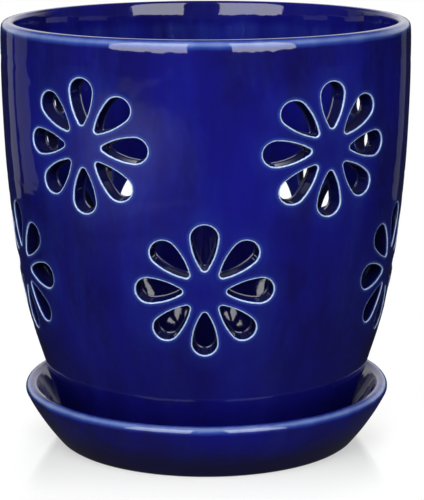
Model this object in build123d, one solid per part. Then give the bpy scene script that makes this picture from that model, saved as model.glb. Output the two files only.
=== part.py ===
from build123d import *

import os
from math import asin, cos, degrees, radians, sin, tan

"""Orchid pot with flower-shaped air slots, standing in its own drip saucer.

Two glazed ceramic castings. The pot is a tall cup whose wall is pierced by two staggered rows of
flowers with teardrop petals; it stands loose on the floor of a shallow flared saucer.
Millimetres and degrees, +Z up, origin on the table under the middle of the saucer, front to -Y.
"""

# Whole object
overall_height = 187.0

# Pot wall, measured on its outer face
rim_diameter = 178.0
pot_wall = 6.5
collar_height = 20.0  # upright stretch below the lip
body_arc_radius = 620.0  # long swell below the collar
body_lean = 8.1  # lean of the wall where the swell ends
heel_arc_radius = 215.0  # tighter curve below the swell
heel_lean = 17.5  # lean of the straight wall from there to the foot
lip_outer_radius = 2.6
lip_inner_radius = 1.8

# Pot floor and foot
pot_floor = 6.0
base_arc_radius = 135.0  # inside of the wall, which thickens towards the floor
base_start_lean = 12.5  # lean of the inside where it starts to thicken
floor_corner_radius = 16.0
foot_ring_width = 8.0
foot_ring_height = 2.0
foot_bevel = 0.9
drain_hole_diameter = 16.0
drain_hole_bevel = 1.2
weep_notch_count = 3
weep_notch_width = 9.0

# Flowers pierced through the pot wall
flowers_per_row = 5
upper_row_drop = 44.4  # lip down to the middle of the upper row
row_spacing = 57.6
petals_per_flower = 8
flower_radius = 29.0  # middle of the flower to the round end of a petal
hub_radius = 8.4  # middle of the flower to the narrow end of a petal
petal_width = 11.0
petal_point_width = 1.8

# Saucer; its floor is sized from the foot of the pot, and its wall flares up and out from there
saucer_wall = 5.6
saucer_flare = 10.7  # inner corner of the floor out to the lip
saucer_wall_height = 17.9  # floor up to where the inside turns into the lip
saucer_bow = 0.4  # outward bulge of the inside of the wall
saucer_floor = 5.5
saucer_foot_ring_width = 7.0
saucer_foot_recess = 1.5
saucer_foot_bevel = 1.0

# Curved faces mesh far heavier than cones, so every turned curve is a run of short cones
body_steps = 5
heel_steps = 3
bowl_steps = 5
round_steps = 3
base_steps = 3

# Fits
pot_seat_clearance = 2.2  # foot of the pot to the inner corner of the saucer
cutter_overshoot = 2.0  # slot and notch cutters past the faces that they open

# Worked out from the driving dimensions
rim_radius = rim_diameter / 2
collar_z = overall_height - collar_height
seat_z = saucer_foot_recess + saucer_floor
pot_underside_z = seat_z + foot_ring_height
pot_floor_z = pot_underside_z + pot_floor


def outward(lean):
    """Direction square to a wall that leans out by that angle, in radius and height."""
    return Vector(cos(radians(lean)), -sin(radians(lean)))


def arc(centre, radius, first_lean, last_lean, steps):
    """Points along a turned curve, in radius and height."""
    turn = (last_lean - first_lean) / steps
    return [centre + outward(first_lean + turn * step) * radius for step in range(steps + 1)]


body_centre = Vector(rim_radius, collar_z) - outward(0) * body_arc_radius
heel_centre = body_centre + outward(body_lean) * (body_arc_radius - heel_arc_radius)


def straight_wall(inset, z):
    """Point at height z on the straight lower wall, set in from the outer face."""
    top = heel_centre + outward(heel_lean) * (heel_arc_radius - inset)
    return Vector(top.X - (top.Y - z) * tan(radians(heel_lean)), z)


def curved_wall(inset, last_lean):
    """Points down the curved wall from the collar to that lean, set in from the outer face."""
    body = arc(body_centre, body_arc_radius - inset, 0, body_lean, body_steps)
    return body + arc(heel_centre, heel_arc_radius - inset, body_lean, last_lean, heel_steps)[1:]


def wall_at(z):
    """Outer radius and lean of the pot wall at height z."""
    if z >= collar_z:
        return rim_radius, 0.0
    lean = degrees(asin((body_centre.Y - z) / body_arc_radius))
    if lean <= body_lean:
        return (body_centre + outward(lean) * body_arc_radius).X, lean
    lean = degrees(asin(min(1.0, (heel_centre.Y - z) / heel_arc_radius)))
    if lean <= heel_lean:
        return (heel_centre + outward(lean) * heel_arc_radius).X, lean
    return straight_wall(0, z).X, heel_lean


def turned(points):
    """Solid made by turning a closed outline, drawn as radius and height, about the vertical axis."""
    return revolve(Plane.XZ * make_face(Polyline(*points, close=True)), Axis.Z)


def petal_slot():
    """Plug for one slot, drawn from the middle of the flower up +Y; the wall's outer face is at Z = 0."""
    head = petal_width / 2
    head_y = flower_radius - head
    half_point = petal_point_width / 2
    # Straight sides run from the narrow end to the round head and meet it without a corner
    reach = Vector(half_point, hub_radius - head_y)
    side_angle = degrees(asin(head / reach.length)) - degrees(asin(half_point / reach.length))
    join = Vector(head * cos(radians(side_angle)), head_y - head * sin(radians(side_angle)))
    face = make_face(
        [
            Line((-half_point, hub_radius), (half_point, hub_radius)),
            Line((half_point, hub_radius), join),
            ThreePointArc(join, (0, flower_radius), (-join.X, join.Y)),
            Line((-join.X, join.Y), (-half_point, hub_radius)),
        ]
    )
    return extrude(Pos(0, 0, cutter_overshoot) * face, -pot_wall - 2 * cutter_overshoot)


def slot_places(row_z, first_turn):
    """Where every slot in a row of flowers sits, square to the wall at the middle of the slot."""
    petal_middle = (flower_radius + hub_radius) / 2
    hub_wall_radius, hub_lean = wall_at(row_z)
    places = []
    for flower in range(flowers_per_row):
        for petal in range(petals_per_flower):
            swing = 360 / petals_per_flower * petal
            z = row_z + petal_middle * cos(radians(swing)) * cos(radians(hub_lean))
            turn = first_turn + 360 / flowers_per_row * flower
            turn += degrees(petal_middle * sin(radians(swing)) / hub_wall_radius)
            radius, lean = wall_at(z)
            on_wall = Rot(0, 0, turn) * Pos(0, -radius, z) * Rot(90 + lean, 0, 0)
            places.append(on_wall * Rot(0, 0, -swing) * Pos(0, -petal_middle, 0))
    return places


def make_pot():
    """The pierced pot, standing on the saucer's floor."""
    foot = straight_wall(0, seat_z)
    ring_inside = foot.X - foot_ring_width
    hole = drain_hole_diameter / 2
    lip_outer = Vector(rim_radius - lip_outer_radius, overall_height - lip_outer_radius)
    lip_inner = Vector(rim_radius - pot_wall + lip_inner_radius, overall_height - lip_inner_radius)
    base_centre = heel_centre + outward(base_start_lean) * (heel_arc_radius - pot_wall - base_arc_radius)
    corner_swing = base_arc_radius - floor_corner_radius
    corner_lean = degrees(asin((base_centre.Y - pot_floor_z - floor_corner_radius) / corner_swing))
    floor_corner = base_centre + outward(corner_lean) * corner_swing
    outside = arc(lip_outer, lip_outer_radius, -90, 0, round_steps) + curved_wall(0, heel_lean)
    outside.append(straight_wall(0, seat_z + foot_bevel))
    underneath = [
        Vector(foot.X - foot_bevel, seat_z),
        Vector(ring_inside, seat_z),
        Vector(ring_inside, pot_underside_z),
        Vector(hole, pot_underside_z),
    ]
    inside = arc(lip_inner, lip_inner_radius, -90, -180, round_steps) + curved_wall(pot_wall, base_start_lean)
    inside += arc(base_centre, base_arc_radius, base_start_lean, corner_lean, base_steps)[1:]
    inside += arc(floor_corner, floor_corner_radius, corner_lean, 90, round_steps)[1:]
    inside += [Vector(hole + drain_hole_bevel, pot_floor_z), Vector(hole, pot_floor_z - drain_hole_bevel)]
    pot = turned(outside + underneath + inside[::-1])

    notch_length = foot_ring_width + 2 * cutter_overshoot
    notch = Box(weep_notch_width, notch_length, foot_ring_height, align=(Align.CENTER, Align.MIN, Align.MIN))
    notch = Pos(0, ring_inside - cutter_overshoot, seat_z) * notch
    notches = [Rot(0, 0, 360 / weep_notch_count * turn) * notch for turn in range(weep_notch_count)]

    upper_z = overall_height - upper_row_drop
    places = slot_places(upper_z, 180 / flowers_per_row) + slot_places(upper_z - row_spacing, 0)
    slot = petal_slot()
    return pot - notches - [place * slot for place in places]


def make_saucer():
    """The flared dish that the pot stands in."""
    corner = Vector(straight_wall(0, seat_z).X + pot_seat_clearance, seat_z)
    span = Vector(saucer_flare, saucer_wall_height)
    square = Vector(-span.Y, span.X).normalized()
    inner_radius = span.length**2 / (8 * saucer_bow) + saucer_bow / 2
    outer_radius = inner_radius + saucer_wall
    bowl_centre = corner + span / 2 + square * (inner_radius - saucer_bow)

    def lean_at(radius, z):
        return degrees(asin((bowl_centre.Y - z) / radius))

    lip_lean = lean_at(inner_radius, seat_z + saucer_wall_height)
    floor_lean = lean_at(inner_radius, seat_z)
    foot_lean = lean_at(outer_radius, saucer_foot_bevel)
    lip = saucer_wall / 2
    lip_centre = bowl_centre + outward(lip_lean) * (inner_radius + lip)
    foot = bowl_centre.X + outer_radius * cos(radians(lean_at(outer_radius, 0)))
    ring_inside = foot - saucer_foot_ring_width
    outside = arc(lip_centre, lip, lip_lean - 90, lip_lean, round_steps)
    outside += arc(bowl_centre, outer_radius, lip_lean, foot_lean, bowl_steps)[1:]
    underneath = [
        Vector(foot - saucer_foot_bevel, 0),
        Vector(ring_inside, 0),
        Vector(ring_inside, saucer_foot_recess),
        Vector(0, saucer_foot_recess),
    ]
    inside = arc(lip_centre, lip, lip_lean - 90, lip_lean - 180, round_steps)[1:]
    inside += arc(bowl_centre, inner_radius, lip_lean, floor_lean, bowl_steps)[1:]
    inside.append(Vector(0, seat_z))
    return turned(outside + underneath + inside[::-1])


os.makedirs("parts", exist_ok=True)
export_step(make_pot(), "parts/pot.step")
export_step(make_saucer(), "parts/saucer.step")
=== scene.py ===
from math import asin, atan2, cos, pi, radians, sin, sqrt, tau

import bmesh
import bpy
from bpy.props import FloatProperty, FloatVectorProperty, IntProperty, PointerProperty
from mathutils import Matrix, Vector


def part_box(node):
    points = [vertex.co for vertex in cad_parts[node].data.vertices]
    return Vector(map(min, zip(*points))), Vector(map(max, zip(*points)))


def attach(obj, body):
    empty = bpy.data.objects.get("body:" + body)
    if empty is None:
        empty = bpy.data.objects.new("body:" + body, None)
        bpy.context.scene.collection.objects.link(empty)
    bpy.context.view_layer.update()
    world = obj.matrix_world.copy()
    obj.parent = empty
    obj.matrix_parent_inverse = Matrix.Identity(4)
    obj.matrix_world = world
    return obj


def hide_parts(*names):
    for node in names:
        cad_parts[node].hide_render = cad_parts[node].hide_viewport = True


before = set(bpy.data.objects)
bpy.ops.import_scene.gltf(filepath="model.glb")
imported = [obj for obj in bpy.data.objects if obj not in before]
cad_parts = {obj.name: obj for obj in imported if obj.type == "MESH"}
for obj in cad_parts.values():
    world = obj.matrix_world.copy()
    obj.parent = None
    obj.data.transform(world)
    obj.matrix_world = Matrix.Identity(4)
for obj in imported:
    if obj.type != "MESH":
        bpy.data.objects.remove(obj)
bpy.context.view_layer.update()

bl_info = {
    "name": "Pierced orchid pot",
    "version": (1, 0, 0),
    "blender": (4, 2, 0),
    "location": "3D View > Sidebar > Orchid Pot",
    "description": "Cobalt-glazed orchid pot with flower-shaped slots, its drip saucer and a white studio",
    "category": "Add Mesh",
}

POT_LOW, POT_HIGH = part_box("pot")
SAUCER_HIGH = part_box("saucer")[1]
MM = 0.001
HAIR = 0.005 * MM  # keeps the turned rims inside the box
PETAL_WELD = 0.001 * MM
PIECE_WELD = 0.005 * MM
FAR_FROM_SLOTS = 60.0  # millimetres, past every halo


def amount(name, description, default, **kind):
    """A number property, plain or with a unit or subtype."""
    return FloatProperty(name=name, description=description, default=default, **kind)


def length(name, description, default):
    """A size property in metres."""
    return amount(name, description, default, unit="LENGTH", precision=4)


def angle(name, description, degrees):
    """An angle property."""
    return amount(name, description, radians(degrees), subtype="ANGLE")


def colour(name, description, default):
    """A linear colour property."""
    return FloatVectorProperty(
        name=name, description=description, default=default, size=3, min=0.0, max=1.0, subtype="COLOR"
    )


class PotShape(bpy.types.PropertyGroup):
    """Sizes of the pot and its flower slots"""

    rim_radius: length("Rim radius", "Outer radius of the lip", POT_HIGH[0] - HAIR)
    top: length("Top", "Height of the lip above the table", POT_HIGH[2])
    seat: length("Seat", "Height of the foot above the table", POT_LOW[2])
    wall: length("Wall", "Thickness of the pot wall", 6.5 * MM)
    collar: length("Collar", "Upright stretch below the lip", 20 * MM)
    body_arc: length("Body arc", "Radius of the long swell below the collar", 620 * MM)
    body_lean: angle("Body lean", "Lean of the wall where the swell ends", 8.1)
    heel_arc: length("Heel arc", "Radius of the tighter curve below the swell", 215 * MM)
    heel_lean: angle("Heel lean", "Lean of the straight wall from there to the foot", 17.5)
    lip_outer: length("Outer lip", "Rounding of the outside of the lip", 3.0 * MM)
    lip_inner: length("Inner lip", "Rounding of the inside of the lip", 1.8 * MM)
    lip_draft_outer: length("Outer draft", "How far the outside draws in as it nears the lip", 0.4 * MM)
    lip_draft_inner: length("Inner draft", "How far the inside draws out as it nears the lip", 0.8 * MM)
    floor: length("Floor", "Thickness of the floor", 6 * MM)
    base_arc: length("Base arc", "Radius of the inside where it thickens towards the floor", 112 * MM)
    base_lean: angle("Base lean", "Lean of the inside where it starts to thicken", 17.0)
    floor_corner: length("Floor corner", "Rounding between floor and wall", 16 * MM)
    foot_width: length("Foot width", "Width of the foot ring", 8 * MM)
    foot_height: length("Foot height", "Height of the foot ring", 2 * MM)
    drain_radius: length("Drain hole", "Radius of the drain hole", 8 * MM)
    notches: IntProperty(name="Notches", description="Weep notches in the foot ring", default=3, min=0)
    notch_width: length("Notch width", "Width of a weep notch", 9 * MM)

    flowers: IntProperty(name="Flowers", description="Flowers in each row", default=5, min=3)
    petals: IntProperty(name="Petals", description="Slots in each flower", default=8, min=3)
    row_drop: length("Row drop", "Lip down to the middle of the upper row", 44.4 * MM)
    row_spacing: length("Row spacing", "Distance between the rows", 57.6 * MM)
    flower_radius: length("Flower radius", "Middle of a flower to the round end of a petal", 28.45 * MM)
    hub_radius: length("Hub radius", "Middle of a flower to the point of a petal", 9.1 * MM)
    petal_width: length("Petal width", "Greatest width of a slot", 10.7 * MM)
    petal_point: length("Petal point", "Radius of the narrow end of a slot", 1.3 * MM)
    petal_bow: length("Petal bow", "Radius of a slot's long sides", 28 * MM)
    throat: length("Throat", "How much a slot narrows on its way in", 0.2 * MM)
    edge_round: length("Edge rounding", "Rounding of a slot's glazed edge", 0.45 * MM)
    bead: length("Bead", "Rise of the bead of glaze round a slot's inner end", 0.5 * MM)


class SaucerShape(bpy.types.PropertyGroup):
    """Sizes of the saucer"""

    rim_radius: length("Rim radius", "Outer radius of the lip", SAUCER_HIGH[0] - HAIR)
    height: length("Height", "Height of the lip above the table", SAUCER_HIGH[2])
    wall: length("Wall", "Thickness of the flared wall", 5.6 * MM)
    floor_top: length("Floor", "Height of the floor above the table", POT_LOW[2])
    floor_radius: length("Floor radius", "Inner corner of floor and wall", 65.1 * MM)
    lip_lean: angle("Lip lean", "Lean of the wall at its lip", 26.5)
    foot_radius: length("Foot radius", "Outer radius of the foot", 65.65 * MM)
    foot_width: length("Foot width", "Width of the foot ring", 7 * MM)
    foot_recess: length("Foot recess", "Depth of the hollow under the saucer", 1.5 * MM)


class GlazeLook(bpy.types.PropertyGroup):
    """Colours of the cobalt glaze and the bare clay"""

    # Deep is also the colour of the painted shade low on the pot and on its inside, partly thicker glaze
    deep: colour("Deep", "Thick glaze where it pools", (0.0046, 0.0034, 0.070))
    # Shade is painted shade on the saucer's down-facing wall, partly thicker glaze, and also its deep glaze
    # colour
    shade: colour("Shade", "Thick glaze on the saucer", (0.0085, 0.0072, 0.052))
    body: colour("Body", "Glaze on the open wall", (0.0060, 0.0062, 0.185))
    # Thin also tints the painted light on the upper inside wall
    thin: colour("Thin", "Glaze thinned towards an edge", (0.027, 0.060, 0.31))
    bare: colour("Break", "Glaze that breaks pale on an edge", (0.46, 0.60, 0.80))
    clay: colour("Clay", "Unglazed foot ring", (0.62, 0.55, 0.46))


class StudioLook(bpy.types.PropertyGroup):
    """Camera and lights fitted to the photograph"""

    distance: length("Distance", "Camera to the pot's axis, along the table", 0.87935)
    height: length("Height", "Camera above the table", 0.2735)
    pitch: angle("Pitch", "How far the camera looks down", 12.153)
    roll: angle("Roll", "Turn of the camera about its view", -0.14)
    lens: amount("Lens", "Focal length", 145.6, subtype="DISTANCE_CAMERA")
    shift: amount("Shift", "Sideways shift of the picture", 0.0115)
    key_power: amount("Key light", "Power of the main light", 8.6, unit="POWER")
    back_power: amount("Back light", "Power of the light behind", 6, unit="POWER")
    softbox_glow: amount("Softboxes", "Brightness of the softboxes in the glaze", 5)
    panel_glow: amount("Panels", "Brightness of the panels behind the pot", 0.28)
    fill: amount("Fill", "Brightness of the soft light from all round", 0.22)
    floor_glow: amount("Floor", "Brightness of the floor in the glaze", 0.45)


def outward(lean):
    """Direction square to a wall that leans out by that angle, as radius and height."""
    return Vector((cos(lean), -sin(lean)))


def blend(a, b, share):
    """Value part of the way from a to b."""
    return a + (b - a) * share


class WallCurve:
    """The pot wall's profile, walked down from the collar."""

    def __init__(self, shape):
        self.shape = shape
        self.collar_z = shape.top - shape.collar
        self.body_run = shape.body_arc * shape.body_lean
        self.heel_run = shape.heel_arc * (shape.heel_lean - shape.body_lean)
        self.body_centre = Vector((shape.rim_radius - shape.body_arc, self.collar_z))
        self.heel_centre = self.body_centre + outward(shape.body_lean) * (shape.body_arc - shape.heel_arc)
        self.base_run = self.body_run + shape.heel_arc * (shape.base_lean - shape.body_lean)
        self.base_centre = self.point(self.base_run, shape.wall) - outward(shape.base_lean) * shape.base_arc

    def point(self, run, depth):
        """Radius and height after a run down the wall, at a depth in from its outer face."""
        shape = self.shape
        if run <= 0:
            return Vector((shape.rim_radius - depth, self.collar_z - run))
        if run <= self.body_run:
            return self.body_centre + outward(run / shape.body_arc) * (shape.body_arc - depth)
        lean = shape.body_lean + min(run - self.body_run, self.heel_run) / shape.heel_arc
        straight = max(0.0, run - self.body_run - self.heel_run)
        down = Vector((-sin(lean), -cos(lean)))
        return self.heel_centre + outward(lean) * (shape.heel_arc - depth) + down * straight

    def thickness(self, run):
        """Thickness of the wall after a run down it."""
        shape = self.shape
        if run <= self.base_run:
            return shape.wall
        outer = self.point(run, 0)
        square = (outer - self.point(run, shape.wall)).normalized()
        aside = outer - self.base_centre
        along = aside.dot(square)
        return along - sqrt(along**2 - aside.length_squared + shape.base_arc**2)

    def run_at(self, z):
        """Run down to a height on the swell."""
        return self.shape.body_arc * asin((self.collar_z - z) / self.shape.body_arc)

    def straight_radius(self, z, depth):
        """Radius of the straight lower wall at a height."""
        start = self.point(self.body_run + self.heel_run, depth)
        return start.x - (start.y - z) * sin(self.shape.heel_lean) / cos(self.shape.heel_lean)


class PetalOutline:
    """A teardrop slot drawn from the middle of its flower up +Y: point, bowed sides and round head."""

    # Shares of each half of the outline at which the point ends and the head starts
    POINT_SHARE = 0.2
    SIDE_SHARE = 0.52

    def __init__(self, shape):
        self.head = shape.petal_width / 2
        self.head_y = shape.flower_radius - self.head
        self.point_radius = shape.petal_point
        self.side = shape.petal_bow
        point_y = shape.hub_radius + shape.petal_point
        reach = (self.side - self.point_radius) ** 2 - (self.side - self.head) ** 2
        self.side_y = (reach / (self.head_y - point_y) + self.head_y + point_y) / 2
        self.side_x = sqrt((self.side - self.head) ** 2 - (self.side_y - self.head_y) ** 2)

    def at(self, share, inset):
        """Point at a share of the way round from the narrow end, on the outline shrunk by inset."""
        half = 2 * min(share, 1 - share)
        head = self.head - inset
        side = self.side - inset
        point = max(self.point_radius - inset, self.point_radius / 2)
        point_y = self.side_y - sqrt((side - point) ** 2 - self.side_x**2)
        point_turn = atan2(point_y - self.side_y, self.side_x)
        head_turn = atan2(self.head_y - self.side_y, self.side_x)
        if half < self.POINT_SHARE:
            turn = blend(-pi / 2, point_turn, half / self.POINT_SHARE)
            x, y = point * cos(turn), point_y + point * sin(turn)
        elif half < self.SIDE_SHARE:
            along = (half - self.POINT_SHARE) / (self.SIDE_SHARE - self.POINT_SHARE)
            turn = blend(point_turn, head_turn, along)
            x, y = side * cos(turn) - self.side_x, side * sin(turn) + self.side_y
        else:
            turn = blend(head_turn, pi / 2, (half - self.SIDE_SHARE) / (1 - self.SIDE_SHARE))
            x, y = head * cos(turn), self.head_y + head * sin(turn)
        return Vector((x if share <= 0.5 else -x, y))


# Each flower's slip from its even place, as cut by hand: degrees round, millimetres down, width, height
UPPER_WANDER = (
    (-0.9, 1.5, 1.1, 0.97),
    (0.4, 0.6, 1.03, 0.98),
    (0, 1.6, 1.02, 0.99),
    (-0.6, 0.8, 1.04, 0.98),
    (1.5, 0, 1.045, 0.975),
)
LOWER_WANDER = (
    (-0.5, 0.4, 1.01, 0.995),
    (-0.9, 2.4, 1, 1),
    (-0.5, 1, 1, 1),
    (1.3, 0.6, 1.1, 0.99),
    (2.2, 1.1, 1, 1),
)


def extruded(bm, edges):
    """Vertices and edges of a new ring that is extruded from a ring of edges."""
    made = bmesh.ops.extrude_edge_only(bm, edges=edges)["geom"]
    verts = [item for item in made if isinstance(item, bmesh.types.BMVert)]
    return verts, [item for item in made if isinstance(item, bmesh.types.BMEdge)]


class FlowerTile:
    """One flower and the patch of wall round it, first laid flat and then wrapped onto the pot.

    Flat, x runs round the pot, y up the wall and -z into it. Every ring of vertices is extruded from the
    one before it and then put in its place: across the outer face, round the slot's edge, through the
    wall and out over the inner face.
    """

    ARC_STEPS = 10
    SIDE_STEPS = 10
    DISC_RADIUS = 31.5 * MM
    FIELD = (1.0, 0.62, 0.33, 0.13)  # rings on the wall's face, as shares of the way out from a slot
    SKIRT = (0.4, 0.75, 1.0)  # rings outside the disc, as shares of the way to the tile's border
    ROUND_STEPS = 5
    THROAT_STEPS = 4
    BEAD_STEPS = 6
    BEAD_START = 1.55  # where the bead starts to rise, in its own rises before the inner face
    BEAD_ROUND = 0.8  # rounding of the bead's crest, in rises
    OUTER_PALE = 0.6  # depth of the outer edge's pale line, in roundings of that edge
    INNER_PALE = 1.3  # place of the inner edge's pale line, in rises before the inner face
    THROAT_FADE = 2.0  # how much faster the pale lines fade in the throat than on the faces
    OUTLINE_STEPS = 120  # points round a slot that distances are measured to

    def __init__(self, shape, wall, hub_run, hub_turn, low_edge, high_edge, wander):
        self.wander = wander
        self.shape = shape
        self.wall = wall
        self.hub_run = hub_run
        self.hub_turn = hub_turn
        self.low_edge = low_edge
        self.high_edge = high_edge
        self.hub_wall_radius = wall.point(hub_run, 0).x
        self.half_width = self.hub_wall_radius * pi / shape.flowers
        self.outline = PetalOutline(shape)
        self.ring_steps = self.ARC_STEPS + 2 * self.SIDE_STEPS

    def wedge(self, share):
        """Point on the border of one petal's wedge of the flower: out along a side, round, and back."""
        corner = self.SIDE_STEPS / self.ring_steps
        half_angle = pi / self.shape.petals
        along = min(share, 1 - share)
        radius = self.DISC_RADIUS * min(1.0, along / corner)
        turn = half_angle if along <= corner else half_angle * (0.5 - along) / (0.5 - corner)
        turn = turn if share <= 0.5 else -turn
        return Vector((radius * sin(turn), radius * cos(turn)))

    def stations(self):
        """The rings round a slot: (share of the way to the wedge's border, inset, depth)."""
        shape = self.shape
        edge, bead = shape.edge_round, shape.bead
        bead_start = shape.wall - self.BEAD_START * bead
        crest, crown = shape.throat + bead, self.BEAD_ROUND * bead
        quarter = [pi / 2 * step / self.ROUND_STEPS for step in range(self.ROUND_STEPS + 1)]
        rings = [(share, -edge, 0.0) for share in self.FIELD]
        rings += [(0, edge * (sin(turn) - 1), edge * (1 - cos(turn))) for turn in quarter]
        for step in range(1, self.THROAT_STEPS):
            share = step / self.THROAT_STEPS
            rings.append((0, blend(0, shape.throat, share), blend(edge, bead_start, share)))
        for step in range(self.BEAD_STEPS):
            share = step / self.BEAD_STEPS
            rise = bead * share**2 * (3 - 2 * share)
            before = bead * blend(self.BEAD_START, self.BEAD_ROUND, share)
            rings.append((0, shape.throat + rise, shape.wall - before))
        for turn in quarter:
            rings.append((0, crest - crown * (1 - cos(turn)), shape.wall - crown * (1 - sin(turn))))
        rings += [(share, crest - crown, shape.wall) for share in reversed(self.FIELD)]
        return rings

    def edge_distance(self, flat):
        """Distance on the wall's face from the nearest slot, in millimetres."""
        step = tau / self.shape.petals
        turn = atan2(flat.x, flat.y)
        turn = abs(turn - round(turn / step) * step)
        spot = Vector((sin(turn), cos(turn))) * flat.length
        shares = [index / self.OUTLINE_STEPS for index in range(self.OUTLINE_STEPS // 2 + 1)]
        half = [self.outline.at(share, -self.shape.edge_round) for share in shares]
        return min((spot - point).length for point in half) / MM

    def petal(self, bm, share_of, edge, depth_of):
        """The strip of wall round one slot, extruded ring by ring."""
        verts = bmesh.ops.create_circle(bm, segments=self.ring_steps, radius=1)["verts"]
        for vert in verts:
            share_of_vert = round(atan2(vert.co.x, -vert.co.y) / tau * self.ring_steps) / self.ring_steps
            vert[share_of] = share_of_vert % 1.0
        edges = list(bm.edges)
        outer_pale = self.OUTER_PALE * self.shape.edge_round
        inner_pale = self.shape.wall - self.INNER_PALE * self.shape.bead
        for index, (border, inset, depth) in enumerate(self.stations()):
            if index:
                verts, edges = extruded(bm, edges)
            for vert in verts:
                share = vert[share_of]
                rim = self.outline.at(share, inset)
                flat = rim.lerp(self.wedge(share), border)
                vert.co = (flat.x, flat.y, -depth)
                inwards = max(0.0, min(depth - outer_pale, inner_pale - depth))
                vert[edge] = self.edge_distance(flat) if border else self.THROAT_FADE * inwards / MM
                vert[depth_of] = depth / self.shape.wall

    def border(self, turn):
        """Point on the tile's border in the direction of a disc vertex, by equal steps along each side."""
        quarter_turn = turn / (pi / 4)
        if quarter_turn < -3:
            quarter_turn += 8
        along = (quarter_turn + 1) % 2 - 1
        side = int((quarter_turn + 1) // 2)
        if side in (0, 2):
            x = self.half_width * (along if side == 0 else -along)
            edge = self.high_edge if side == 0 else self.low_edge
            return Vector((x, self.hub_run - edge(self.hub_turn + x / self.hub_wall_radius)))
        x = self.half_width if side == 1 else -self.half_width
        turn_there = self.hub_turn + x / self.hub_wall_radius
        high, low = self.hub_run - self.high_edge(turn_there), self.hub_run - self.low_edge(turn_there)
        share = (along + 1) / 2 if side == 1 else (1 - along) / 2
        return Vector((x, blend(high, low, share)))

    def build(self):
        """The whole row of tiles as a mesh in place."""
        bm = bmesh.new()
        share_of = bm.verts.layers.float.new("share")
        edge = bm.verts.layers.float.new("edge")
        depth_of = bm.verts.layers.float.new("depth")
        sway = bm.verts.layers.float.new("sway")
        self.petal(bm, share_of, edge, depth_of)
        petals = self.shape.petals
        bmesh.ops.spin(
            bm,
            geom=bm.verts[:] + bm.edges[:] + bm.faces[:],
            cent=(0, 0, 0),
            axis=(0, 0, 1),
            angle=tau * (petals - 1) / petals,
            steps=petals - 1,
            use_duplicate=True,
        )
        bmesh.ops.remove_doubles(bm, verts=bm.verts, dist=PETAL_WELD)
        for vert in bm.verts:
            vert[sway] = 1.0
        edges = [side for side in bm.edges if side.is_boundary]
        for share in self.SKIRT:
            verts, edges = extruded(bm, edges)
            for vert in verts:
                if share == self.SKIRT[0]:
                    vert[share_of] = atan2(vert.co.x, vert.co.y)
                turn = vert[share_of]
                disc = Vector((sin(turn), cos(turn))) * self.DISC_RADIUS
                flat = disc.lerp(self.border(turn), share)
                vert.co = (flat.x, flat.y, vert.co.z)
                vert[sway] = (1 - share) ** 2
                vert[edge] = self.edge_distance(flat)
        tile = bm.verts[:] + bm.edges[:] + bm.faces[:]
        flowers = self.shape.flowers
        tiles = [tile] + [bmesh.ops.duplicate(bm, geom=tile)["geom"] for _ in range(1, flowers)]
        for flower, geometry in enumerate(tiles):
            turned, dropped, wide, tall = self.wander[flower % len(self.wander)]
            hub_turn = self.hub_turn + tau * flower / flowers
            for vert in geometry:
                if isinstance(vert, bmesh.types.BMVert):
                    x = vert.co.x * blend(1, wide, vert[sway])
                    y = vert.co.y * blend(1, tall, vert[sway]) - dropped * MM * vert[sway]
                    turn = hub_turn + x / self.hub_wall_radius + radians(turned) * vert[sway]
                    run = self.hub_run - y
                    at = self.wall.point(run, -vert.co.z / self.shape.wall * self.wall.thickness(run))
                    vert.co = (at.x * sin(turn), -at.x * cos(turn), at.y)
        mesh = bpy.data.meshes.new("flower_row")
        bm.to_mesh(mesh)
        bm.free()
        return mesh


def rounded(corners, steps=5):
    """Points of a profile whose corners, each a point and a setback, are curved."""
    points = []
    for index, (corner, setback) in enumerate(corners):
        if not setback:
            points.append(corner)
            continue
        start = corner + (corners[index - 1][0] - corner).normalized() * setback
        end = corner + (corners[index + 1][0] - corner).normalized() * setback
        for step in range(steps + 1):
            share = step / steps
            points.append(start.lerp(corner, share).lerp(corner.lerp(end, share), share))
    return points


def float_layer(bm, name):
    """A mesh's own value per vertex, by name."""
    return bm.verts.layers.float.get(name) or bm.verts.layers.float.new(name)


def spin_profile(bm, points, steps, shoulder=None, reach=1.0):
    """Turns a profile of radius and height, drawn from the outer face inwards, once round the axis.

    The shoulder is where the glaze breaks palest on a lip, and reach how far from it that fades.
    """
    layers = [float_layer(bm, name) for name in ("edge", "depth", "lip")]
    verts = [bm.verts.new((0, -point.x, point.y)) for point in points]
    for index, (vert, point) in enumerate(zip(verts, points)):
        lip = max(0.0, 1 - (point - shoulder).length / reach) if shoulder else 0.0
        for layer, value in zip(layers, (FAR_FROM_SLOTS, index / (len(verts) - 1), lip)):
            vert[layer] = value
    edges = [bm.edges.new(pair) for pair in zip(verts, verts[1:])]
    bmesh.ops.spin(
        bm, geom=verts + edges, cent=(0, 0, 0), axis=(0, 0, 1), angle=tau, steps=steps, use_merge=True
    )


def finish_piece(bm, name, material):
    """Object of a closed mesh, smooth and with its faces outwards."""
    bmesh.ops.remove_doubles(bm, verts=bm.verts, dist=PIECE_WELD)
    bmesh.ops.recalc_face_normals(bm, faces=bm.faces)
    if any(not edge.is_manifold for edge in bm.edges):
        raise RuntimeError(f"{name} isn't closed")
    mesh = bpy.data.meshes.new(name)
    bm.to_mesh(mesh)
    bm.free()
    mesh.shade_smooth()
    mesh.materials.append(material)
    piece = bpy.data.objects.new(name, mesh)
    bpy.context.scene.collection.objects.link(piece)
    return piece


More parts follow.
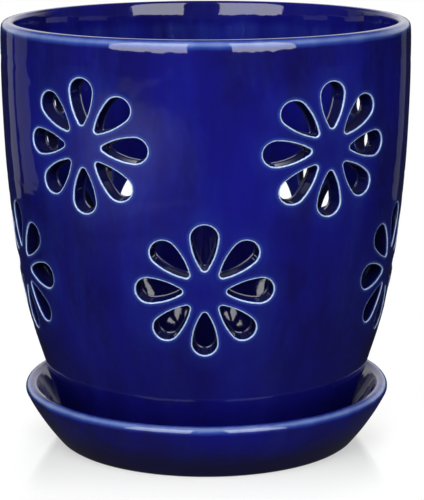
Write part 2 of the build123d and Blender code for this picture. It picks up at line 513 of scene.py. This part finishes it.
def pot_lip(shape, wall, low_run):
    """Profile over the lip, from the outer face to the inner one."""
    outer, inner = shape.rim_radius, shape.rim_radius - shape.wall
    # Where the drafts start, and how softly the wall turns into them
    outer_start, outer_soft = shape.top - 6 * MM, 2.8 * MM
    inner_start, inner_soft = shape.top - 7.5 * MM, 4.4 * MM
    corners = [
        (wall.point(low_run, 0), 0),
        (Vector((outer, outer_start)), outer_soft),
        (Vector((outer - shape.lip_draft_outer, shape.top)), shape.lip_outer),
        (Vector((inner + shape.lip_draft_inner, shape.top)), shape.lip_inner),
        (Vector((inner, inner_start)), inner_soft),
        (wall.point(low_run, shape.wall), 0),
    ]
    return rounded(corners, steps=8)


def pot_base(shape, wall, low_run):
    """Profile from the outer wall round the foot, the drain hole and the floor to the inner wall."""
    heel_end = wall.body_run + wall.heel_run
    underside = shape.seat + shape.foot_height
    floor = underside + shape.floor
    foot = wall.straight_radius(shape.seat, 0)
    ring_inside = foot - shape.foot_width
    outer_edge, hollow_edge, hole_mouth = 1.2 * MM, 0.9 * MM, 1.8 * MM
    corners = [
        (wall.point(low_run, 0), 0),
        (wall.point(heel_end, 0), 0),
        (Vector((foot, shape.seat)), outer_edge),
        (Vector((ring_inside, shape.seat)), hollow_edge),
        (Vector((ring_inside, underside)), hollow_edge),
        (Vector((shape.drain_radius, underside)), outer_edge),
        (Vector((shape.drain_radius, floor)), hole_mouth),
    ]
    last = wall.point(low_run, wall.thickness(low_run))
    centre, radius = wall.base_centre, shape.base_arc
    last_lean = asin((centre.y - last.y) / radius)
    swing = radius - shape.floor_corner
    corner_lean = asin((centre.y - floor - shape.floor_corner) / swing)
    corner = centre + outward(corner_lean) * swing
    corner_steps, wall_steps = 8, 6
    inside = []
    for step in range(corner_steps):
        lean = blend(pi / 2, corner_lean, step / corner_steps)
        inside.append(corner + outward(lean) * shape.floor_corner)
    for step in range(wall_steps):
        lean = blend(corner_lean, last_lean, step / wall_steps)
        inside.append(centre + outward(lean) * radius)
    return rounded(corners + [(point, 0) for point in inside + [last]])


def raise_notches(bm, shape, foot):
    """Weep notches: stretches of the foot ring's face, raised to the hollow underside."""
    ring_face = 0.3 * MM
    step = tau / shape.notches
    for vert in bm.verts:
        if vert.co.z < shape.seat + ring_face:
            turn = atan2(vert.co.x, vert.co.y)
            aside = abs((turn + step / 2) % step - step / 2) * foot
            if aside < shape.notch_width / 2:
                vert.co.z = shape.seat + shape.foot_height


class ORCHIDPOT_OT_pot(bpy.types.Operator):
    """Build the pierced pot"""

    bl_idname = "orchidpot.pot"
    bl_label = "Pot"

    PALE_IN, PALE_DROP, PALE_REACH = 0.3 * MM, 1.6 * MM, 3.1 * MM  # the pale line on the lip

    def execute(self, context):
        shape = context.scene.orchid_pot
        wall = WallCurve(shape)
        upper_run = wall.run_at(shape.top - shape.row_drop)
        lower_run = wall.run_at(shape.top - shape.row_drop - shape.row_spacing)
        # The tiles' borders above and below, and the wave of the border between the rows
        high_run, low_run = -8 * MM, lower_run + 39 * MM
        wave = 9 * MM
        half_turn = pi / shape.flowers

        def between_rows(turn):
            """Run down to the border between the rows, which dips round the flowers."""
            return (upper_run + lower_run) / 2 - wave * cos(shape.flowers * turn)

        rows = [
            FlowerTile(shape, wall, upper_run, half_turn, between_rows, lambda turn: high_run, UPPER_WANDER),
            FlowerTile(shape, wall, lower_run, 0, lambda turn: low_run, between_rows, LOWER_WANDER),
        ]
        bm = bmesh.new()
        for row in rows:
            mesh = row.build()
            bm.from_mesh(mesh)
            bpy.data.meshes.remove(mesh)
        steps = FlowerTile.ARC_STEPS * 2 * shape.flowers
        lip_radius = shape.rim_radius - shape.lip_draft_outer
        shoulder = Vector((lip_radius - self.PALE_IN, shape.top - self.PALE_DROP))
        spin_profile(bm, pot_lip(shape, wall, high_run), steps, shoulder, self.PALE_REACH)
        spin_profile(bm, pot_base(shape, wall, low_run), steps)
        if shape.notches:
            raise_notches(bm, shape, wall.straight_radius(shape.seat, 0))
        look = glaze_material("Pot glaze", context.scene.orchid_glaze, shape.seat, shape.top, pierced=True)
        piece = finish_piece(bm, "pot_glazed", look)
        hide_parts("pot")
        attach(piece, "pot")
        return {"FINISHED"}


class ORCHIDPOT_OT_saucer(bpy.types.Operator):
    """Build the flared saucer"""

    bl_idname = "orchidpot.saucer"
    bl_label = "Saucer"

    STEPS = 144
    WALL_STEPS = 10
    LIP_STEPS = 14
    PALE_LEAN, PALE_REACH = radians(-42), 2.9 * MM  # the pale line on the lip

    def execute(self, context):
        shape = context.scene.orchid_saucer
        lip = shape.wall / 2
        lip_centre = Vector((shape.rim_radius - lip, shape.height - lip))
        square = outward(shape.lip_lean)

        def wall(top, foot, last_z):
            """Arc that leaves the lip at its lean, heads for a point at the foot and stops at a height."""
            span = top - foot
            radius = span.length_squared / (2 * span.dot(square))
            centre = top - square * radius
            last_lean = asin((centre.y - last_z) / radius)
            turn = (last_lean - shape.lip_lean) / self.WALL_STEPS
            leans = [shape.lip_lean + turn * step for step in range(self.WALL_STEPS + 1)]
            return [centre + outward(lean) * radius for lean in leans]

        lip_turn = pi / self.LIP_STEPS
        lip_leans = [shape.lip_lean - lip_turn * step for step in range(self.LIP_STEPS + 1)]
        lip_points = [lip_centre + outward(lean) * lip for lean in lip_leans]
        foot = shape.foot_radius
        ring_inside = foot - shape.foot_width
        foot_edge, foot_soft, hollow_edge = 1.2 * MM, 0.8 * MM, 0.6 * MM
        outside = wall(lip_centre + square * lip, Vector((foot, 0)), foot_edge)
        inner_corner = Vector((shape.floor_radius, shape.floor_top))
        inside = wall(lip_centre - square * lip, inner_corner, shape.floor_top)
        corners = [(point, 0) for point in outside]
        corners += [
            (Vector((foot - foot_edge / 2, 0)), foot_soft),
            (Vector((ring_inside, 0)), hollow_edge),
            (Vector((ring_inside, shape.foot_recess)), hollow_edge),
            (Vector((0, shape.foot_recess)), 0),
        ]
        under = rounded(corners, steps=3)
        floor_edge = inner_corner - Vector((2.5 * MM, 0))
        corner_lift = Vector((0.3 * MM, 0.6 * MM))  # softens the corner of floor and wall
        bowl = [inside[-1] + corner_lift] + inside[-2::-1]
        over = [Vector((0, shape.floor_top)), floor_edge] + bowl + lip_points[::-1]
        bm = bmesh.new()
        shoulder = lip_centre + outward(self.PALE_LEAN) * lip
        for profile in (under, over):
            spin_profile(bm, profile, self.STEPS, shoulder, self.PALE_REACH)
        look = glaze_material("Saucer glaze", context.scene.orchid_glaze, 0, shape.height, pierced=False)
        piece = finish_piece(bm, "saucer_glazed", look)
        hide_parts("saucer")
        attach(piece, "saucer")
        return {"FINISHED"}


def add(tree, kind, inputs=None, **settings):
    """New node with its settings, and its inputs set or linked."""
    made = tree.nodes.new(kind)
    for name, value in settings.items():
        setattr(made, name, value)
    for name, value in (inputs or {}).items():
        if isinstance(value, bpy.types.NodeSocket):
            tree.links.new(value, made.inputs[name])
        else:
            made.inputs[name].default_value = value
    return made


def ramp(tree, value, low, high):
    """Mask that rises smoothly from 0 at low to 1 at high, or falls where low is the larger."""
    rising = low < high
    inputs = {
        "Value": value,
        "From Min": min(low, high),
        "From Max": max(low, high),
        "To Min": 0.0 if rising else 1.0,
        "To Max": 1.0 if rising else 0.0,
    }
    return add(tree, "ShaderNodeMapRange", inputs, interpolation_type="SMOOTHSTEP").outputs["Result"]


def calc(tree, operation, *values):
    """Result of one sum on two or three values."""
    return add(tree, "ShaderNodeMath", dict(enumerate(values)), operation=operation).outputs[0]


def tint(tree, factor, first, second):
    """Colour part of the way from the first to the second."""
    node = add(tree, "ShaderNodeMix", {0: factor, 6: first, 7: second}, data_type="RGBA")
    return node.outputs[2]


def mottle(tree, scale, stretch, detail):
    """Cloudy noise on the ware itself, stretched up and down."""
    place = add(tree, "ShaderNodeTexCoord").outputs["Object"]
    place = add(tree, "ShaderNodeMapping", {"Vector": place, "Scale": (1, 1, 1 / stretch)}).outputs["Vector"]
    noise = add(tree, "ShaderNodeTexNoise", {"Vector": place, "Scale": scale, "Detail": detail})
    return noise.outputs["Fac"]


# Near-black of the painted shade in the slots' throats
PAINTED_THROAT_SHADE = (0.002, 0.002, 0.016, 1)
CLAY_GRIT = (0.36, 0.30, 0.24, 1)


def glaze_group():
    """How the cobalt glaze lies on the clay: pooled, run, thinned at edges, wiped off the foot, with painted
    shade in the slots' throats, low on the walls and inside, and painted light high on the inside wall.
    """
    name = "Cobalt glaze"
    if name in bpy.data.node_groups:
        return bpy.data.node_groups[name]
    tree = bpy.data.node_groups.new(name, "ShaderNodeTree")
    for socket in ("Edge", "Throat", "Lip", "Pool and shade", "Foot"):
        tree.interface.new_socket(name=socket, in_out="INPUT", socket_type="NodeSocketFloat")
    for socket in ("Deep", "Body", "Thin", "Break", "Clay"):
        tree.interface.new_socket(name=socket, in_out="INPUT", socket_type="NodeSocketColor")
    tree.interface.new_socket(name="Color", in_out="OUTPUT", socket_type="NodeSocketColor")
    for socket in ("Roughness", "Height"):
        tree.interface.new_socket(name=socket, in_out="OUTPUT", socket_type="NodeSocketFloat")
    given = add(tree, "NodeGroupInput").outputs

    clouds = mottle(tree, scale=38, stretch=1.6, detail=3)
    runs = mottle(tree, scale=130, stretch=9, detail=2)
    strokes = mottle(tree, scale=75, stretch=5, detail=4)
    grain = mottle(tree, scale=420, stretch=2, detail=3)
    specks = mottle(tree, scale=900, stretch=1, detail=2)
    pooled = calc(tree, "MULTIPLY_ADD", grain, 0.15, calc(tree, "MULTIPLY_ADD", runs, 0.4, clouds))
    color = tint(tree, ramp(tree, pooled, 0.4, 1.05), given["Deep"], given["Body"])
    thinned = calc(tree, "MULTIPLY_ADD", grain, 0.3, strokes)
    color = tint(tree, calc(tree, "MULTIPLY", ramp(tree, thinned, 0.57, 0.95), 0.12), color, given["Thin"])
    # Painted shade, partly pooled glaze: the Pool mask pulls the colour towards Deep
    color = tint(tree, given["Pool and shade"], color, given["Deep"])

    wobble = calc(tree, "MULTIPLY", calc(tree, "SUBTRACT", specks, 0.5), 0.3)
    edge = calc(tree, "ADD", given["Edge"], wobble)
    halo = calc(tree, "MULTIPLY", ramp(tree, edge, 1.9, 0.0), 0.7)
    wide_halo = calc(tree, "MULTIPLY", ramp(tree, given["Edge"], 9.0, 1.0), 0.08)
    color = tint(tree, calc(tree, "MAXIMUM", halo, wide_halo), color, given["Thin"])
    color = tint(tree, calc(tree, "MULTIPLY", ramp(tree, edge, 0.22, 0.0), 0.85), color, given["Break"])

    # The Lip mask: the lip's pale glaze break, and painted light high on the inside wall
    lip = calc(tree, "ADD", given["Lip"], calc(tree, "MULTIPLY", calc(tree, "SUBTRACT", runs, 0.5), 0.35))
    color = tint(tree, ramp(tree, lip, 0.1, 0.75), color, given["Thin"])
    color = tint(tree, calc(tree, "MULTIPLY", ramp(tree, lip, 0.5, 1.05), 0.3), color, given["Break"])
    # Painted shade in the slots' throats
    color = tint(tree, calc(tree, "MULTIPLY", given["Throat"], 0.82), color, PAINTED_THROAT_SHADE)

    grit = tint(tree, calc(tree, "MULTIPLY", specks, 0.6), given["Clay"], CLAY_GRIT)
    color = tint(tree, given["Foot"], color, grit)
    gloss = calc(tree, "MULTIPLY_ADD", clouds, 0.03, 0.02)
    gloss = calc(tree, "MULTIPLY_ADD", given["Foot"], 0.8, gloss)
    height = calc(tree, "MULTIPLY_ADD", specks, 0.01, clouds)
    add(tree, "NodeGroupOutput", {"Color": color, "Roughness": gloss, "Height": height})
    return tree


def glaze_material(name, look, low, high, pierced):
    """Glossy cobalt glaze on a ware that stands between two heights."""
    material = bpy.data.materials.new(name)
    material.use_nodes = True
    tree = material.node_tree
    place = add(tree, "ShaderNodeTexCoord").outputs["Object"]
    height = add(tree, "ShaderNodeSeparateXYZ", {"Vector": place}).outputs["Z"]
    # Darker towards the bottom: painted shade of the down-facing walls, partly thicker glaze
    low_pool_and_shade = ramp(tree, height, blend(low, high, 0.75), low)
    inputs = {
        "Edge": FAR_FROM_SLOTS,
        "Throat": 0.0,
        "Lip": add(tree, "ShaderNodeAttribute", attribute_name="lip").outputs["Fac"],
        "Pool and shade": calc(tree, "MULTIPLY", low_pool_and_shade, 0.4 if pierced else 1.4),
        "Foot": ramp(tree, height, low + 0.5 * MM, low + 0.3 * MM),
        "Deep": (*(look.deep if pierced else look.shade), 1),
        "Body": (*look.body, 1),
        "Thin": (*look.thin, 1),
        "Break": (*look.bare, 1),
        "Clay": (*look.clay, 1),
    }
    if pierced:
        edge = add(tree, "ShaderNodeAttribute", attribute_name="edge").outputs["Fac"]
        depth = add(tree, "ShaderNodeAttribute", attribute_name="depth").outputs["Fac"]
        # Painted shade in the slots, from just inside the outer edge to the bead
        through = calc(tree, "MULTIPLY", ramp(tree, depth, 0.04, 0.16), ramp(tree, depth, 1.0, 0.93))
        inputs["Edge"] = calc(tree, "ADD", edge, ramp(tree, depth, 0.85, 0.95))
        inputs["Throat"] = calc(tree, "MULTIPLY", through, ramp(tree, edge, 10, 5))
        # Painted shade low down, strongest on the inner faces
        down = ramp(tree, height, blend(low, high, 0.9), blend(low, high, 0.4))
        inside = calc(tree, "MULTIPLY", calc(tree, "MULTIPLY", down, depth), 0.75)
        inputs["Pool and shade"] = calc(tree, "MAXIMUM", inputs["Pool and shade"], inside)
        under_lip = calc(tree, "MULTIPLY", ramp(tree, height, high - 16 * MM, high - 6 * MM), 0.22)
        inputs["Pool and shade"] = calc(tree, "MAXIMUM", inputs["Pool and shade"], under_lip)
        # Painted light: the upper inside wall made paler through the Lip mask
        near_top = ramp(tree, height, high - 45 * MM, high - 10 * MM)
        painted_mouth_light = calc(tree, "MULTIPLY", near_top, ramp(tree, depth, 0.8, 1.0))
        inputs["Lip"] = calc(tree, "MULTIPLY_ADD", painted_mouth_light, 0.25, calc(tree, "MULTIPLY", inputs["Lip"], 0.94))
    glaze = add(tree, "ShaderNodeGroup", inputs, node_tree=glaze_group()).outputs
    ripple = {"Strength": 0.5, "Distance": 0.8 * MM, "Height": glaze["Height"]}
    bump = add(tree, "ShaderNodeBump", ripple).outputs
    shader = tree.nodes["Principled BSDF"].inputs
    shader["IOR"].default_value = 1.55
    tree.links.new(glaze["Color"], shader["Base Color"])
    tree.links.new(glaze["Roughness"], shader["Roughness"])
    tree.links.new(bump["Normal"], shader["Normal"])
    return material


# Places of the lights: turn from the camera's side, rise above the level (degrees) and distance (metres)
MIDDLE = 0.1  # height of the middle of the pot
KEY_SPOT, KEY_SIZE = (-6, 36, 0.9), 0.5
BACK_SPOT, BACK_SIZE = (172, 42, 0.9), 0.6
# Softboxes and panels show only in the glaze: turn, width and, for panels, a share of their glow
SOFTBOXES = ((-30.6, 0.92), (31.2, 0.77))
SOFTBOX_DISTANCE, SOFTBOX_LIFT, SOFTBOX_HEIGHT = 1.2, 0.93, 1.74
PANELS = ((-129.4, 0.08, 1), (-113.8, 0.115, 0.7), (133, 0.09, 0.45))
PANEL_DISTANCE, PANEL_RISE, PANEL_HEIGHT = 0.45, 14, 0.42


def aim(turn, rise, distance):
    """Point in a direction from the middle of the pot."""
    turn, rise = radians(turn), radians(rise)
    level = distance * cos(rise)
    return Vector((level * sin(turn), -level * cos(turn), MIDDLE + distance * sin(rise)))


def glow_power(width, height, glow):
    """Power of a flat light that looks that bright."""
    return pi * width * height * glow


def area_light(name, spot, width, height, power, reflection_only=False, level=MIDDLE):
    """Flat light that faces the pot's axis at some level."""
    light = bpy.data.lights.new(name, "AREA")
    light.shape = "RECTANGLE"
    light.size, light.size_y = width, height
    light.energy = power
    lamp = bpy.data.objects.new(name, light)
    lamp.location = spot
    lamp.rotation_euler = (Vector((0, 0, level)) - spot).to_track_quat("-Z", "Y").to_euler()
    lamp.visible_camera = False
    lamp.visible_diffuse = not reflection_only
    lamp.visible_glossy = reflection_only
    bpy.context.scene.collection.objects.link(lamp)


def floor_material(glow):
    """White floor that keeps the shadow and a faint mirror image, and looks dark in the glaze."""
    material = bpy.data.materials.new("Studio floor")
    material.use_nodes = True
    tree = material.node_tree
    tree.nodes.remove(tree.nodes["Principled BSDF"])
    path = add(tree, "ShaderNodeLightPath").outputs
    place = add(tree, "ShaderNodeTexCoord").outputs["Object"]
    ahead = add(tree, "ShaderNodeSeparateXYZ", {"Vector": place}).outputs["Y"]
    far = add(tree, "ShaderNodeVectorMath", {0: place}, operation="LENGTH").outputs["Value"]
    bright_spot = {0: place, 1: (-0.55, -0.6, 0)}
    aside = add(tree, "ShaderNodeVectorMath", bright_spot, operation="DISTANCE").outputs["Value"]
    lit = add(tree, "ShaderNodeBsdfDiffuse", {"Color": (0.95, 0.95, 0.95, 1)}).outputs[0]
    white = add(tree, "ShaderNodeEmission", {"Color": (1, 1, 1, 1), "Strength": 1.0}).outputs[0]
    lift = add(tree, "ShaderNodeEmission", {"Color": (1, 1, 1, 1), "Strength": 0.14}).outputs[0]
    lit = add(tree, "ShaderNodeAddShader", {0: lit, 1: lift}).outputs[0]
    sheen = add(tree, "ShaderNodeBsdfGlossy", {"Color": (1, 1, 1, 1), "Roughness": 0.01}).outputs[0]
    shadow = calc(tree, "MULTIPLY", ramp(tree, far, 0.24, 0.07), ramp(tree, ahead, 0.06, -0.03))
    shadow = calc(tree, "MULTIPLY", shadow, 0.4)
    seen = add(tree, "ShaderNodeMixShader", {0: shadow, 1: white, 2: lit}).outputs[0]
    beside = calc(tree, "MULTIPLY", ramp(tree, ahead, -0.1, -0.02), ramp(tree, ahead, 0.05, 0.0))
    mirror = calc(tree, "MULTIPLY", calc(tree, "MULTIPLY", beside, ramp(tree, far, 0.135, 0.1)), 0.22)
    seen = add(tree, "ShaderNodeMixShader", {0: mirror, 1: seen, 2: sheen}).outputs[0]
    bounce = add(tree, "ShaderNodeBsdfDiffuse", {"Color": (0.45, 0.45, 0.48, 1)}).outputs[0]
    patch = calc(tree, "MULTIPLY", ramp(tree, aside, 0.6, 0.1), glow)
    patch = calc(tree, "ADD", patch, calc(tree, "MULTIPLY_ADD", ramp(tree, ahead, 0.1, -0.1), 0.03, 0.015))
    mirrored = add(tree, "ShaderNodeEmission", {"Color": (1, 1, 1, 1), "Strength": patch}).outputs[0]
    unseen = add(tree, "ShaderNodeMixShader", {0: path["Is Glossy Ray"], 1: bounce, 2: mirrored}).outputs[0]
    shader = add(tree, "ShaderNodeMixShader", {0: path["Is Camera Ray"], 1: unseen, 2: seen}).outputs[0]
    tree.links.new(shader, tree.nodes["Material Output"].inputs["Surface"])
    return material


def studio_world(fill):
    """White surroundings: full for the camera, behind the pot for reflections, soft for light."""
    world = bpy.data.worlds.new("Studio")
    world.use_nodes = True
    tree = world.node_tree
    path = add(tree, "ShaderNodeLightPath").outputs
    toward = add(tree, "ShaderNodeTexCoord").outputs["Generated"]
    sides = add(tree, "ShaderNodeSeparateXYZ", {"Vector": toward}).outputs
    mirrored = calc(tree, "MULTIPLY", ramp(tree, sides["Y"], 0.2, 0.75), ramp(tree, sides["Z"], 0.6, 0.3))
    mirrored = calc(tree, "MULTIPLY", mirrored, ramp(tree, sides["Z"], -0.02, 0.1))
    mirrored = calc(tree, "MAXIMUM", mirrored, 0.06)
    strength = add(tree, "ShaderNodeMix", {0: path["Is Glossy Ray"], 2: fill, 3: mirrored}).outputs[0]
    strength = add(tree, "ShaderNodeMix", {0: path["Is Camera Ray"], 2: strength, 3: 1.0}).outputs[0]
    tree.links.new(strength, tree.nodes["Background"].inputs["Strength"])
    tree.nodes["Background"].inputs["Color"].default_value = (1, 1, 1, 1)
    return world


class ORCHIDPOT_OT_studio(bpy.types.Operator):
    """Set up floor, lights and camera"""

    bl_idname = "orchidpot.studio"
    bl_label = "Studio"

    FLOOR_SIZE = 6
    FLOOR_DROP = 0.05 * MM  # keeps the floor's face apart from the saucer's foot

    def execute(self, context):
        look = context.scene.orchid_studio
        scene = context.scene
        bm = bmesh.new()
        bmesh.ops.create_grid(bm, x_segments=1, y_segments=1, size=self.FLOOR_SIZE)
        bmesh.ops.translate(bm, verts=bm.verts, vec=(0, 0, -self.FLOOR_DROP))
        mesh = bpy.data.meshes.new("floor")
        bm.to_mesh(mesh)
        bm.free()
        mesh.materials.append(floor_material(look.floor_glow))
        floor = bpy.data.objects.new("floor", mesh)
        scene.collection.objects.link(floor)

        camera = bpy.data.cameras.new("camera")
        camera.lens = look.lens
        camera.shift_x = look.shift
        eye = bpy.data.objects.new("camera", camera)
        eye.matrix_world = (
            Matrix.Translation((0, -look.distance, look.height))
            @ Matrix.Rotation(pi / 2 - look.pitch, 4, "X")
            @ Matrix.Rotation(look.roll, 4, "Z")
        )
        scene.collection.objects.link(eye)
        scene.camera = eye

        area_light("key", aim(*KEY_SPOT), KEY_SIZE, KEY_SIZE, look.key_power)
        area_light("back", aim(*BACK_SPOT), BACK_SIZE, BACK_SIZE, look.back_power)
        for turn, width in SOFTBOXES:
            spot = aim(turn, 0, SOFTBOX_DISTANCE) + Vector((0, 0, SOFTBOX_LIFT))
            power = glow_power(width, SOFTBOX_HEIGHT, look.softbox_glow)
            area_light("softbox", spot, width, SOFTBOX_HEIGHT, power, reflection_only=True, level=spot.z)
        for turn, width, share in PANELS:
            power = glow_power(width, PANEL_HEIGHT, share * look.panel_glow)
            spot = aim(turn, PANEL_RISE, PANEL_DISTANCE)
            area_light("panel", spot, width, PANEL_HEIGHT, power, reflection_only=True)

        scene.view_settings.view_transform = "Standard"
        scene.world = studio_world(look.fill)
        return {"FINISHED"}


class ORCHIDPOT_PT_panel(bpy.types.Panel):
    """Sizes, colours and builders"""

    bl_idname = "ORCHIDPOT_PT_panel"
    bl_label = "Orchid Pot"
    bl_space_type = "VIEW_3D"
    bl_region_type = "UI"
    bl_category = "Orchid Pot"

    def draw(self, context):
        for operator in OPERATORS:
            self.layout.operator(operator.bl_idname)
        for name in SETTINGS:
            group = getattr(context.scene, name)
            box = self.layout.box()
            for prop in group.bl_rna.properties:
                if prop.identifier not in ("rna_type", "name"):
                    box.prop(group, prop.identifier)


SETTINGS = {
    "orchid_pot": PotShape,
    "orchid_saucer": SaucerShape,
    "orchid_glaze": GlazeLook,
    "orchid_studio": StudioLook,
}
OPERATORS = (ORCHIDPOT_OT_pot, ORCHIDPOT_OT_saucer, ORCHIDPOT_OT_studio)


def register():
    """Adds the classes and the scene's settings."""
    for group in SETTINGS.values():
        bpy.utils.register_class(group)
    for cls in OPERATORS + (ORCHIDPOT_PT_panel,):
        bpy.utils.register_class(cls)
    for name, group in SETTINGS.items():
        setattr(bpy.types.Scene, name, PointerProperty(type=group))


def unregister():
    """Removes the scene's settings and the classes."""
    for name in SETTINGS:
        delattr(bpy.types.Scene, name)
    for cls in (ORCHIDPOT_PT_panel,) + OPERATORS[::-1]:
        bpy.utils.unregister_class(cls)
    for group in SETTINGS.values():
        bpy.utils.unregister_class(group)


def main():
    """Builds the pieces and the studio."""
    register()
    bpy.ops.orchidpot.pot()
    bpy.ops.orchidpot.saucer()
    bpy.ops.orchidpot.studio()


if __name__ == "__main__":
    main()
